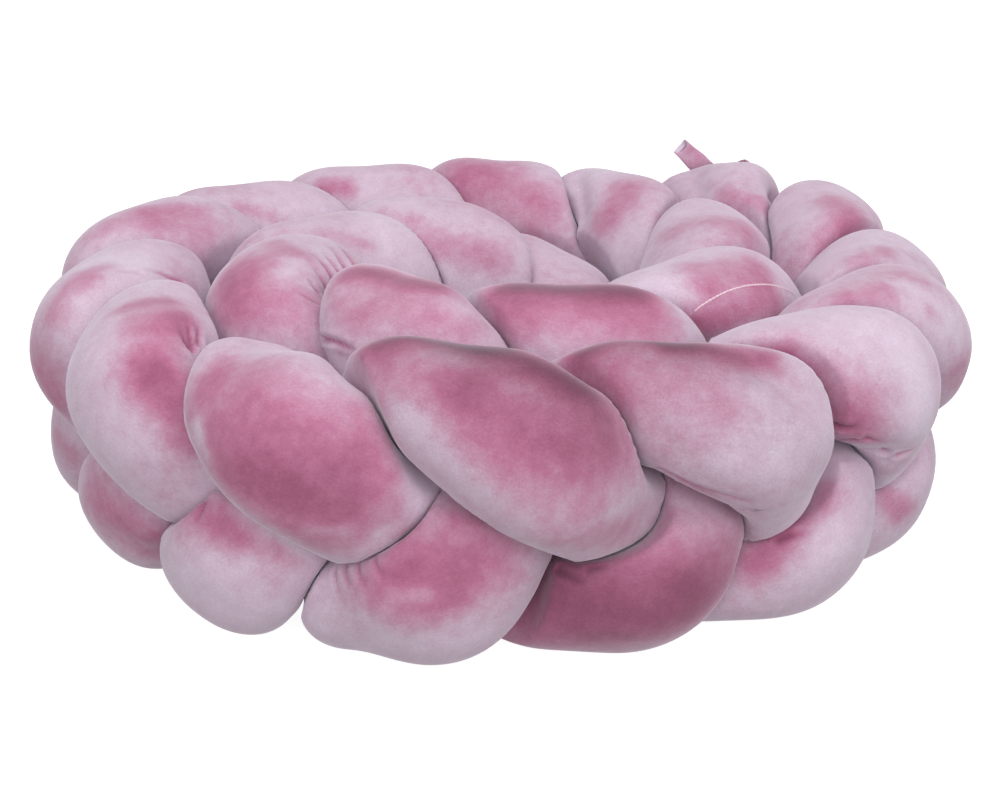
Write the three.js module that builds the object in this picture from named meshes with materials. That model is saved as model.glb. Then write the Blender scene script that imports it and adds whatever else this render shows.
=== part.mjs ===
// A braided crib bumper: three stuffed plush tubes plaited into one long braid that stands on
// edge, coiled in two turns, with a cloth tie sewn to its outer end. Millimetres, +Z up, the
// floor at Z = 0 and the photographed front facing -Y.
import * as THREE from 'three';

// Driving dimensions
const BRAID_HEIGHT = 156;   // floor to the top of a plain crown
const STRAND_WIDE = 73;     // a strand's free oval section, along the braid's face
const STRAND_THICK = 55;    // the same section, across the braid
const CROWN_DEPTH = 32;     // middle of a strand below the top of its crown
const FOOT_DEPTH = 26;      // middle of a strand above the floor, less than half its thickness
const SWING = 21;           // how far a strand passes outside, then inside, its neighbours
const BACK_SHIFT = 12;      // how far a strand lags along the braid halfway up
const FOOT_LEAD = 5;        // how far a foot runs ahead along the braid
const OUTER_PRESS = 0.1;    // how much further the outer of two strands presses the inner one
const PRESS_LEAD = 0.44;    // turn by which that pressing runs ahead of the swing, in radians
const OVAL_ACROSS = 45;     // half width of the figure of eight that the oval sections follow
const OVAL_UP = 80;         // its half height
const CREASE_ROUND = 2.8;   // rounding where a strand turns into a pressed face
const CLEARANCE = 1.8;      // between the pressed faces of two strands
const END_LENGTH = 0.95;    // length of a tapered strand end, in crowns
const GATHER_LENGTH = 1.1;  // length over which the ends are drawn together, in crowns
const END_GATHER = 0.5;     // how far the three ends stay apart, as a share of the open braid
const COIL_CENTRE = new THREE.Vector2(-2.5, -14.5);   // stands the coil's box over the origin

const STRANDS = ['strand_a', 'strand_b', 'strand_c'];
const SIDES = 16;           // faces around a strand
const STEPS = 136;          // sections along a strand, without its ends
const END_STEPS = 8;        // sections in each tapered end
const TRACE_STEPS = 480;    // points of a strand's middle line that press its neighbours
const SMALL_STEP = 0.004;   // crowns, for the direction and the bend of a middle line
const BEND_SHARE = 0.8;     // most of a bend's radius that the cloth inside it may take up
const LEAST_SHARE = 0.25;   // least of the free reach that the rounding leaves at a strand's tip
const OWN_REACH = 1.6;      // crowns along its own strand that don't press a section

const TIE_WIDE = 12;
const TIE_THICK = 2.4;
const TIE_STRAND = 2;       // the strand whose last crown carries the tie
const TIE_STEPS = 34;

const PLUSH = new THREE.MeshStandardMaterial({ color: 0xb37993, roughness: 0.92, metalness: 0 });
const TIE_CLOTH = new THREE.MeshStandardMaterial({ color: 0xae7690, roughness: 0.9, metalness: 0 });

// One row for each crown, from the coil's inner end to its outer end.
// azimuth: degrees around the coil from its front, towards +X; radius: the braid's middle from
// the coil's axis; rise: crown above BRAID_HEIGHT; inset: the foot's place inside the crown.
const CROWNS = [
  { azimuth: -599, radius: 102, rise: -44, inset: 19 },
  { azimuth: -559, radius: 97, rise: -32, inset: 19 },
  { azimuth: -518, radius: 109, rise: 0, inset: 19 },
  { azimuth: -480, radius: 118, rise: 0, inset: 19 },
  { azimuth: -435.5, radius: 117, rise: 8, inset: 19 },
  { azimuth: -388, radius: 106, rise: 9, inset: 19 },
  { azimuth: -341, radius: 103, rise: 5, inset: 19 },
  { azimuth: -286, radius: 110, rise: 1, inset: 19 },
  { azimuth: -237, radius: 147, rise: -1, inset: 19 },
  { azimuth: -204.5, radius: 188, rise: 0, inset: 19 },
  { azimuth: -180, radius: 205, rise: 2, inset: 19 },
  { azimuth: -155, radius: 208, rise: 2, inset: 19 },
  { azimuth: -130, radius: 210, rise: 1, inset: 19 },
  { azimuth: -108, radius: 210, rise: 6, inset: 14 },
  { azimuth: -85.5, radius: 203, rise: -1, inset: 2 },
  { azimuth: -62, radius: 192, rise: -2, inset: 16 },
  { azimuth: -35, radius: 185, rise: -4, inset: 14 },
  { azimuth: -5, radius: 176, rise: 1, inset: 17 },
  { azimuth: 27, radius: 180, rise: -5, inset: 22 },
  { azimuth: 52.5, radius: 188, rise: -3, inset: 12 },
  { azimuth: 77, radius: 199, rise: -3, inset: 14 },
  { azimuth: 98, radius: 209, rise: -6, inset: 16 },
  { azimuth: 120, radius: 229, rise: 3, inset: 19 },
  { azimuth: 142, radius: 242, rise: 4, inset: 19 },
  { azimuth: 169.5, radius: 224, rise: -20, inset: 19 },
];
const LAST_CROWN = CROWNS.length - 1;

// The tie's route on its strand, from the sewn end to the free end. along: crowns along the
// strand; around: degrees around it from its top towards the coil's outside; off: stand-off from
// its cloth; facing: the way the tape's face looks, in degrees like around.
const TIE_ROUTE = [
  { along: 23.58, around: 62, off: 2.1, facing: 62 },
  { along: 23.38, around: 60, off: 2.1, facing: 60 },
  { along: 23.22, around: 54, off: 2.1, facing: 54 },
  { along: 23.11, around: 46, off: 2.8, facing: 46 },
  { along: 23.05, around: 39, off: 4, facing: 39 },
  { along: 23.07, around: 33, off: 5.8, facing: 33 },
  { along: 23.12, around: 30, off: 5.8, facing: 22 },
  { along: 23.17, around: 25, off: 7, facing: -15 },
  { along: 23.19, around: 19, off: 12.5, facing: -55 },
  { along: 23.2, around: 14, off: 23.5, facing: -75 },
];

const UP = new THREE.Vector3(0, 0, 1);

// Value of one column between the rows: a uniform Catmull-Rom curve, straight past both ends.
function column(name, along) {
  const row = Math.min(Math.max(Math.floor(along), 0), LAST_CROWN - 1);
  const share = along - row;
  const from = CROWNS[row][name];
  const to = CROWNS[row + 1][name];
  const before = row > 0 ? CROWNS[row - 1][name] : 2 * from - to;
  const after = row < LAST_CROWN - 1 ? CROWNS[row + 2][name] : 2 * to - from;
  const slope = to - before;
  const bend = 2 * before - 5 * from + 4 * to - after;
  const twist = 3 * from - before - 3 * to + after;
  return from + 0.5 * (slope + (bend + twist * share) * share) * share;
}

function smoothStep(share) {
  const inside = Math.min(Math.max(share, 0), 1);
  return inside * inside * (3 - 2 * inside);
}

// Crowns left to the nearer end of the braid.
function endDistance(along) {
  return Math.min(along, LAST_CROWN - along);
}

// 1 in the braid, END_GATHER where its three strands are drawn together at an end.
function openness(along) {
  return END_GATHER + (1 - END_GATHER) * smoothStep(endDistance(along) / GATHER_LENGTH);
}

// Thickness of a strand as a share of the full one: a half ellipse over the tapered end.
function fullness(along) {
  const missing = Math.max(0, 1 - endDistance(along) / END_LENGTH);
  return Math.sqrt(1 - missing * missing);
}

// Turn of a strand within the plait: it crowns at every third row and is at its foot between.
function phase(strand, along) {
  return (2 * Math.PI * (along - strand)) / 3 + Math.PI / 2;
}

function outwardAt(azimuth) {
  return new THREE.Vector3(Math.sin(azimuth), -Math.cos(azimuth), 0);
}

// Outward part of a strand's figure of eight, from -1 to 1.
function outwardShare(strand, along) {
  return -Math.sin(2 * phase(strand, along));
}

// How firmly a strand presses its neighbours: like the part before, a little ahead of it.
function firmness(strand, along) {
  return -Math.sin(2 * phase(strand, along) + PRESS_LEAD);
}

// Middle line of a strand: a wave in height, a figure of eight across, laid along the coil.
function strandMiddle(strand, along) {
  const turn = phase(strand, along);
  const lift = Math.sin(turn);
  const radius = column('radius', along);
  const topHeight = BRAID_HEIGHT + column('rise', along) - CROWN_DEPTH;
  const halfway = (topHeight + FOOT_DEPTH) / 2;
  const open = openness(along);
  const height = halfway + ((topHeight - FOOT_DEPTH) / 2) * lift * open;
  const across = SWING * outwardShare(strand, along) + (column('inset', along) / 2) * (lift - 1);
  const ahead = (FOOT_LEAD / 2) * (1 - lift) - BACK_SHIFT * Math.cos(turn) ** 2;
  const azimuth = THREE.MathUtils.degToRad(column('azimuth', along)) + ahead / radius;
  const middle = outwardAt(azimuth).multiplyScalar(radius + across * open);
  return middle.add(new THREE.Vector3(COIL_CENTRE.x, COIL_CENTRE.y, height));
}

// Points of all middle lines, with the firmness of each.
function traceStrands() {
  const points = [];
  for (let strand = 0; strand < STRANDS.length; strand += 1) {
    for (let step = 0; step <= TRACE_STEPS; step += 1) {
      const along = (LAST_CROWN * step) / TRACE_STEPS;
      const place = strandMiddle(strand, along);
      points.push({ strand, along, place, firmness: firmness(strand, along) });
    }
  }
  return points;
}

const TRACE = traceStrands();

// A strand's upright section at one place: its middle, the bend of its middle line, its two
// axes and the oval's short axis.
function sectionFrame(strand, along) {
  const middle = strandMiddle(strand, along);
  const ahead = strandMiddle(strand, along + SMALL_STEP).sub(middle);
  const behind = middle.clone().sub(strandMiddle(strand, along - SMALL_STEP));
  const pace = (ahead.length() + behind.length()) / 2;
  const forward = ahead.clone().add(behind).normalize();
  const bend = ahead.normalize().sub(behind.normalize()).divideScalar(pace);
  const top = UP.clone().addScaledVector(forward, -UP.dot(forward)).normalize();
  const side = forward.clone().cross(top);
  const turn = phase(strand, along);
  const azimuth = THREE.MathUtils.degToRad(column('azimuth', along));
  const halfRise = (BRAID_HEIGHT - CROWN_DEPTH - FOOT_DEPTH) / 2;
  const short = outwardAt(azimuth).multiplyScalar((-2 * SWING * Math.cos(turn)) / OVAL_ACROSS ** 2);
  short.addScaledVector(UP, halfRise / OVAL_UP ** 2);
  short.addScaledVector(forward, -short.dot(forward)).normalize();
  return { strand, along, middle, bend, top, side, short, firmness: firmness(strand, along) };
}

// Distance along a ray to the nearest face where another strand, or another turn, presses back,
// or to where the cloth inside a bend would fold over itself.
function pressedReach(frame, ray) {
  let reach = BEND_SHARE / Math.max(frame.bend.dot(ray), 1 / BRAID_HEIGHT);
  const apart = new THREE.Vector3();
  for (const other of TRACE) {
    if (other.strand === frame.strand && Math.abs(other.along - frame.along) < OWN_REACH) continue;
    apart.subVectors(other.place, frame.middle);
    const facing = apart.dot(ray);
    if (facing <= 0) continue;
    const share = 0.5 + (OUTER_PRESS / 2) * (frame.firmness - other.firmness);
    reach = Math.min(reach, (share * apart.lengthSq()) / facing);
  }
  return reach - CLEARANCE / 2;
}

// Reach of a strand's cloth along a ray: a free oval, rounded into its pressed faces and cut
// off flat by the floor.
function clothReach(frame, ray, pressed) {
  const shortShare = ray.dot(frame.short);
  const wideShare = Math.sqrt(Math.max(0, 1 - shortShare * shortShare));
  const oval = 1 / Math.hypot(shortShare / (STRAND_THICK / 2), wideShare / (STRAND_WIDE / 2));
  const free = oval * fullness(frame.along);
  const nearer = Math.min(free, pressed);
  const spread = Math.abs(free - pressed);
  const rounded = nearer - CREASE_ROUND * Math.log1p(Math.exp(-spread / CREASE_ROUND));
  const floor = ray.z < 0 ? frame.middle.z / -ray.z : Infinity;
  return Math.min(Math.max(rounded, LEAST_SHARE * nearer), floor);
}

function rayAt(frame, angle) {
  const ray = frame.top.clone().multiplyScalar(Math.cos(angle));
  return ray.addScaledVector(frame.side, Math.sin(angle));
}

// One cross-section of a strand: rays from its middle, how far the cloth reaches on each of
// them and how far it may reach at most.
function strandSection(strand, along) {
  const frame = sectionFrame(strand, along);
  const rays = [];
  const reaches = [];
  const limits = [];
  for (let corner = 0; corner < 2 * SIDES; corner += 1) {
    const ray = rayAt(frame, (Math.PI * corner) / SIDES);
    const pressed = pressedReach(frame, ray);
    rays.push(ray);
    limits.push(pressed);
    reaches.push(clothReach(frame, ray, pressed));
  }
  return { middle: frame.middle, rays, reaches, limits };
}

function cornerPlace(section, corner) {
  return section.middle.clone().addScaledVector(section.rays[corner], section.reaches[corner]);
}

// How far the middle of a straight edge stands out of the pressed face between its ends.
function excess(edgeStart, edgeEnd, section, corner) {
  const middle = edgeStart.clone().add(edgeEnd).multiplyScalar(0.5).sub(section.middle);
  return Math.max(0, middle.dot(section.rays[corner]) - section.limits[corner]);
}

// Rings of corners for the sections with even numbers. The odd sections and odd rays between
// them show where a flat facet would cut across a hollow: the flatter diagonal is taken there,
// and the corners are drawn back.
function strandSkin(sections) {
  const around = 2 * SIDES;
  const drawn = sections.map(() => new Array(around).fill(0));
  const turned = sections.map(() => new Array(around).fill(false));
  const measure = (ring, corner, ring2, corner2, betweenCorner) => excess(
    cornerPlace(sections[ring], corner),
    cornerPlace(sections[ring2], corner2),
    sections[(ring + ring2) / 2],
    betweenCorner,
  );
  const drawBack = (ring, corner, amount) => {
    drawn[ring][corner] = Math.max(drawn[ring][corner], amount);
  };
  for (let ring = 0; ring < sections.length; ring += 2) {
    for (let corner = 0; corner < around; corner += 2) {
      const next = (corner + 2) % around;
      const arc = measure(ring, corner, ring, next, corner + 1);
      drawBack(ring, corner, arc);
      drawBack(ring, next, arc);
      if (ring + 2 >= sections.length) continue;
      const length = measure(ring, corner, ring + 2, corner, corner);
      drawBack(ring, corner, length);
      drawBack(ring + 2, corner, length);
      const rising = measure(ring, corner, ring + 2, next, corner + 1);
      const falling = measure(ring, next, ring + 2, corner, corner + 1);
      turned[ring][corner] = falling < rising;
      drawBack(ring, falling < rising ? next : corner, Math.min(rising, falling));
      drawBack(ring + 2, falling < rising ? corner : next, Math.min(rising, falling));
    }
  }
  const rings = [];
  for (let ring = 0; ring < sections.length; ring += 2) {
    const { middle, rays, reaches } = sections[ring];
    const places = [];
    for (let corner = 0; corner < around; corner += 2) {
      const reach = reaches[corner] - drawn[ring][corner];
      places.push(middle.clone().addScaledVector(rays[corner], reach));
    }
    rings.push(places);
  }
  return { rings, isTurned: (ring, corner) => turned[2 * ring][2 * corner] };
}

// Places of a strand's sections, with one more between each two: close together on the round
// ends, even between them.
function strandStations() {
  const ends = [];
  for (let step = 1; step <= END_STEPS; step += 1) {
    ends.push(END_LENGTH * (1 - Math.cos((Math.PI / 2) * (step / END_STEPS))));
  }
  const stations = [...ends];
  const open = LAST_CROWN - 2 * END_LENGTH;
  for (let step = 1; step < STEPS; step += 1) {
    stations.push(END_LENGTH + (open * step) / STEPS);
  }
  stations.push(...ends.toReversed().map((distance) => LAST_CROWN - distance));
  const doubled = [];
  stations.forEach((station, step) => {
    if (step > 0) doubled.push((stations[step - 1] + station) / 2);
    doubled.push(station);
  });
  return doubled;
}

// Closed surface over rings of points that turn the same way, with a point at each end. A
// facet's diagonal runs forward around the ring, or back where isTurned says so.
function loft(rings, firstTip, lastTip, isTurned = () => false) {
  const around = rings[0].length;
  const points = [...rings.flat(), firstTip, lastTip];
  const first = points.length - 2;
  const last = points.length - 1;
  const faces = [];
  for (let corner = 0; corner < around; corner += 1) {
    const next = (corner + 1) % around;
    faces.push(first, next, corner);
    for (let ring = 0; ring < rings.length - 1; ring += 1) {
      const here = ring * around;
      const there = here + around;
      if (isTurned(ring, corner)) {
        faces.push(here + corner, here + next, there + corner);
        faces.push(here + next, there + next, there + corner);
      } else {
        faces.push(here + corner, here + next, there + next);
        faces.push(here + corner, there + next, there + corner);
      }
    }
    const end = (rings.length - 1) * around;
    faces.push(last, end + corner, end + next);
  }
  const geometry = new THREE.BufferGeometry().setFromPoints(points);
  geometry.setIndex(faces);
  geometry.computeVertexNormals();
  return geometry;
}

function strandGeometry(strand) {
  const sections = strandStations().map((along) => strandSection(strand, along));
  const { rings, isTurned } = strandSkin(sections);
  return loft(rings, strandMiddle(strand, 0), strandMiddle(strand, LAST_CROWN), isTurned);
}

// The tie: a flat tape with rounded edges, lying on the strand's cloth as far as its free end.
function tieGeometry() {
  const stops = TIE_ROUTE.map((stop) => {
    const frame = sectionFrame(TIE_STRAND, stop.along);
    const ray = rayAt(frame, THREE.MathUtils.degToRad(stop.around));
    const reach = clothReach(frame, ray, pressedReach(frame, ray)) + stop.off;
    const place = frame.middle.clone().addScaledVector(ray, reach);
    return { place, face: rayAt(frame, THREE.MathUtils.degToRad(stop.facing)) };
  });
  const route = new THREE.CatmullRomCurve3(stops.map((stop) => stop.place));
  const facing = new THREE.CatmullRomCurve3(stops.map((stop) => stop.face));
  const edge = (TIE_WIDE - TIE_THICK) / 2;
  const rings = [];
  for (let step = 0; step <= TIE_STEPS; step += 1) {
    const share = step / TIE_STEPS;
    const middle = route.getPoint(share);
    const forward = route.getTangent(share);
    const width = forward.clone().cross(facing.getPoint(share)).normalize();
    const face = width.clone().cross(forward).normalize();
    const corner = (across, out) => middle.clone()
      .addScaledVector(width, across)
      .addScaledVector(face, out * (TIE_THICK / 2));
    rings.push([
      corner(TIE_WIDE / 2, 0), corner(edge, -1), corner(-edge, -1),
      corner(-TIE_WIDE / 2, 0), corner(-edge, 1), corner(edge, 1),
    ]);
  }
  return loft(rings, route.getPoint(0), route.getPoint(1));
}

function namedMesh(name, geometry, material) {
  const mesh = new THREE.Mesh(geometry, material);
  mesh.name = name;
  return mesh;
}

const bumper = new THREE.Group();
STRANDS.forEach((name, strand) => bumper.add(namedMesh(name, strandGeometry(strand), PLUSH)));
bumper.add(namedMesh('tie', tieGeometry(), TIE_CLOTH));

export default bumper;
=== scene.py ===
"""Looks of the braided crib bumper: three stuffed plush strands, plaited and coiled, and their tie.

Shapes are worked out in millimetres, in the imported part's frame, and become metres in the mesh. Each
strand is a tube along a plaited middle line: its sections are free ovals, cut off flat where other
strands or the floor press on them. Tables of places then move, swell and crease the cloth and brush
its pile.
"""
# The brushed pile also holds painted sheen and painted shade, and one more table paints shade and
# light on the cloth.
import math
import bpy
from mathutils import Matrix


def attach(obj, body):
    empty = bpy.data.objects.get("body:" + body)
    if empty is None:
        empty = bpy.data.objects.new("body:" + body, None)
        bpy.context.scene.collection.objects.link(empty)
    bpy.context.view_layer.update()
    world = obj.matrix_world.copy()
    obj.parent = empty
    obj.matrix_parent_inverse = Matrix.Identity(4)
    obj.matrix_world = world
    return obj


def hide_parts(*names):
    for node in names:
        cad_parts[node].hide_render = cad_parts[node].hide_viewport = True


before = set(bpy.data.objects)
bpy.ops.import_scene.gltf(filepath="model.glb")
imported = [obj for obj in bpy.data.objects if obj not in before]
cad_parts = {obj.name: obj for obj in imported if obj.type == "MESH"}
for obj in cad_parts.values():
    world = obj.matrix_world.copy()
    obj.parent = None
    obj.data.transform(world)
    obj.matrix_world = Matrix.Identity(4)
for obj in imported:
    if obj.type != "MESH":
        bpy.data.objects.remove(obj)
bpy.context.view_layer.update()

from types import SimpleNamespace

import bpy
import numpy as np

METRE = 0.001              # metres in a millimetre
STRANDS = ("strand_a", "strand_b", "strand_c")

# The plait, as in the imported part
BRAID_HEIGHT = 156.0       # floor to the top of a plain crown
STRAND_WIDE = 73.0         # a strand's free oval section, along the braid's face
STRAND_THICK = 55.0        # the same section, across the braid
CROWN_DEPTH = 32.0         # middle of a strand below the top of its crown
FOOT_DEPTH = 26.0          # middle of a strand above the floor
SWING = 21.0               # how far a strand passes outside, then inside, its neighbours
BACK_SHIFT = 12.0          # how far a strand lags along the braid halfway up
FOOT_LEAD = 5.0            # how far a foot runs ahead along the braid
OUTER_PRESS = 0.1          # how much further the outer of two strands presses the inner one
PRESS_LEAD = 0.44          # turn by which that pressing runs ahead of the swing, in radians
OVAL_ACROSS = 45.0         # half width of the figure of eight that the oval sections follow
OVAL_UP = 80.0             # its half height
END_LENGTH = 0.95          # length of a tapered strand end, in crowns
GATHER_LENGTH = 1.1        # length over which the ends are drawn together, in crowns
END_GATHER = 0.5           # how far the three ends stay apart, as a share of the open braid
COIL_CENTRE = (-2.5, -14.5)
OWN_REACH = 1.6            # crowns along its own strand that don't press a section
BEND_SHARE = 0.8           # most of a bend's radius that the cloth inside it may take up
LEAST_SHARE = 0.25         # least of the free reach that the rounding leaves at a strand's tip

# The cloth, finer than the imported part
CREASE_ROUND = 1.0         # rounding where a strand turns into a pressed face
SHOULDER = 2.2             # power of the cloth's oval: 2 is an ellipse, more gives fuller shoulders
TOP_PRESS = 0.8            # how much more a strand presses on its outer way down than on its way up
CLEARANCE = 0.6            # between the pressed faces of two strands
TRACE_STEPS = 480          # points of a strand's middle line that press its neighbours
SMALL_STEP = 0.004         # crowns, for the direction and the bend of a middle line
STATIONS = 1250            # sections along a strand
CORNERS = 168              # points around a section
CHUNK = 24                 # sections worked out together, to save memory
FINE_PLACES = 40           # places tried for each section when the sections are shared out
CREASE_FINENESS = 3.0      # how much closer sections stand near a crease
CREASE_NEAR = 0.12         # crowns on each side of a crease where they do
CREASE_LIP = 0.3           # height of the lips beside a crease, as a share of its depth
CREASE_LIP_PLACE = 2.5     # how far the lips are from the crease's middle, in its widths
CREASE_STEPS = 5           # straight pieces of a crease or of a patch's middle
CREASE_WINDOW = 0.3        # crowns past a crease's ends where it still shapes the cloth
PATCH_WINDOW = 0.6         # the same for a soft patch
LEAST_CLOTH = 0.4          # least share of the reach that creases and hollows leave
LUMP_FADE = 6.0            # millimetres off a pressed face over which lumps rise to their height
END_PLEATS = 11            # pleats of a gathered strand end
END_PLEAT_DEPTH = 0.16     # their depth there, as a share of the reach

# One row for each crown, from the coil's inner end to its outer end.
# azimuth: degrees around the coil from its front, towards +X; radius: the braid's middle from the
# coil's axis; rise: crown above BRAID_HEIGHT; inset: the foot's place inside the crown.
CROWN_COLUMNS = ("azimuth", "radius", "rise", "inset")
CROWNS = (
    (-599, 102, -44, 19),
    (-559, 97, -32, 19),
    (-518, 109, 0, 19),
    (-480, 118, 0, 19),
    (-435.5, 117, 8, 19),
    (-388, 106, 9, 19),
    (-341, 103, 5, 19),
    (-286, 110, 1, 19),
    (-237, 147, -1, 19),
    (-204.5, 188, 0, 19),
    (-180, 205, 2, 19),
    (-155, 208, 2, 19),
    (-130, 210, 1, 19),
    (-108, 210, 6, 14),
    (-85.5, 203, -1, 2),
    (-62, 192, -2, 16),
    (-35, 185, -4, 14),
    (-5, 176, 1, 17),
    (27, 180, -5, 22),
    (52.5, 188, -3, 12),
    (77, 199, -3, 14),
    (98, 209, -6, 16),
    (120, 229, 3, 19),
    (142, 242, 4, 19),
    (169.5, 224, -20, 19),
)
CROWN_TABLE = dict(zip(CROWN_COLUMNS, np.array(CROWNS, float).T))
LAST_CROWN = len(CROWNS) - 1
UP = np.array([0.0, 0.0, 1.0])

# Places where the cloth of a strand pushes its neighbours more than in the plain plait, or less.
PUSHES = (
    # strand, along, reach along in crowns, push
    (1, 16.70, 0.14, -1.2),
    (2, 17.64, 0.16, -2.2),
    (0, 18.56, 0.12, -1.5),
    (2, 18.85, 0.15, 1.2),
    (1, 18.95, 0.12, -1.5),
    (0, 16.95, 0.15, 1.0),
    (1, 17.42, 0.12, -1.5),
    (2, 17.80, 0.08, 1.5),
    (1, 18.05, 0.14, -1.5),
)

# Places where a strand lies higher or lower, or further ahead or back, than in the plain plait.
SHIFTS = (
    # strand, along, reach along in crowns, up, ahead, in millimetres
    (2, 17.66, 0.22, 7.0, 0.0),
    (0, 18.55, 0.20, 6.0, -1.0),
    (1, 19.42, 0.15, 4.0, 0.0),
    (0, 16.47, 0.18, 0.0, -5.0),
    (0, 18.34, 0.16, 0.0, 4.0),
    (1, 15.96, 0.22, -5.0, 0.0),
    (0, 16.95, 0.15, 0.0, 3.0),
)

# Places where the stuffing swells the cloth out, or leaves it slack: rows as for the creases, but
# with a radius and a height in millimetres.
SWELLS = (
    # strand, along, around, to along, to around, radius, height
    (0, 17.85, 20, 18.02, 4, 16, 3.0),
    (2, 16.76, 38, 16.86, 25, 10, 2.5),
    (0, 9.17, -39, 8.91, -76, 10, -6.0),
    (0, 16.52, 81, 16.50, 130, 14, 3.0),
    (0, 18.36, 50, 18.42, 90, 12, 2.0),
    (0, 18.22, 8, 18.36, 38, 13, -6.0),
    (1, 14.87, 171, 14.87, 140, 14, -5.0),
    (1, 19.32, 150, 19.40, 165, 12, -2.0),
    (2, 23.02, -61, 22.90, -60, 10, -4.0),
    (2, 23.02, -40, 23.12, -28, 11, -7.0),
    (2, 22.76, 20, 22.84, 62, 14, -11.0),
    (2, 5.10, 93, 5.14, 91, 6, -2.5),
    (1, 15.76, 18, 15.81, -4, 14, -4.5),
    (1, 15.63, 24, 15.68, -8, 14, -8.0),
)

# Soft lumps of the stuffing, as waves: direction, length in millimetres, start and height.
LUMPS = (
    ((0.8, 0.2, 0.5), 71.0, 0.4, 0.45),
    ((-0.3, 0.9, 0.4), 58.0, 2.1, 0.4),
    ((0.5, -0.5, 0.7), 43.0, 4.0, 0.3),
    ((0.1, 0.4, -0.9), 34.0, 1.3, 0.25),
)

# Pinch creases, each from its deepest end to where it runs out.
# strand: number in STRANDS; along and around, in crowns and degrees, at its start and its end;
# width and depth in millimetres.
CREASES = (
    # strand, along, around, to along, to around, width, depth
    (0, 15.27, -46, 15.15, -44, 1.6, 3.4),
    (0, 15.21, -55, 15.11, -50, 1.7, 3.6),
    (0, 15.16, -63, 15.07, -57, 1.6, 3.0),
    (0, 17.98, 122, 18.30, 138, 1.7, 2.2),
    (0, 18.06, 130, 18.22, 142, 1.5, 1.4),
    (0, 16.60, 52, 16.67, 68, 1.4, 1.2),
    (0, 16.65, 46, 16.73, 60, 1.5, 1.4),
    (0, 16.74, 42, 16.80, 58, 1.5, 1.5),
    (0, 16.83, 35, 16.86, 50, 1.4, 1.2),
    (1, 4.14, -100, 4.11, -46, 2.0, 3.0),
    (1, 4.05, -112, 4.00, -36, 2.2, 4.4),
    (1, 3.97, -104, 3.92, -32, 2.0, 3.8),
    (1, 3.90, -108, 3.83, -18, 2.4, 4.6),
    (1, 3.80, -82, 3.75, -4, 2.2, 3.6),
    (1, 4.30, -40, 4.20, -46, 1.3, 1.4),
    (1, 4.40, -10, 4.30, -14, 1.3, 1.2),
    (1, 19.03, 122, 19.11, 113, 1.6, 3.0),
    (1, 19.08, 143, 19.17, 126, 1.6, 3.0),
    (1, 19.17, 126, 19.24, 130, 1.4, 1.8),
    (1, 19.44, 176, 19.30, 148, 1.6, 2.2),
    (1, 19.48, 172, 19.46, 155, 1.5, 2.0),
    (1, 17.56, 50, 17.72, 60, 1.6, 2.6),
    (1, 17.74, 48, 17.83, 45, 1.4, 1.8),
    (2, 13.86, -62, 13.97, -42, 1.8, 2.0),
    (2, 14.02, -46, 14.10, -34, 1.5, 1.2),
    (2, 4.97, 91, 5.17, 78, 1.3, 3.4),
    (2, 17.20, 148, 17.46, 164, 1.6, 1.6),
    (2, 16.05, 18, 15.98, 36, 1.6, 1.8),
    (2, 18.78, 50, 18.92, 38, 1.6, 1.8),
)
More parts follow.
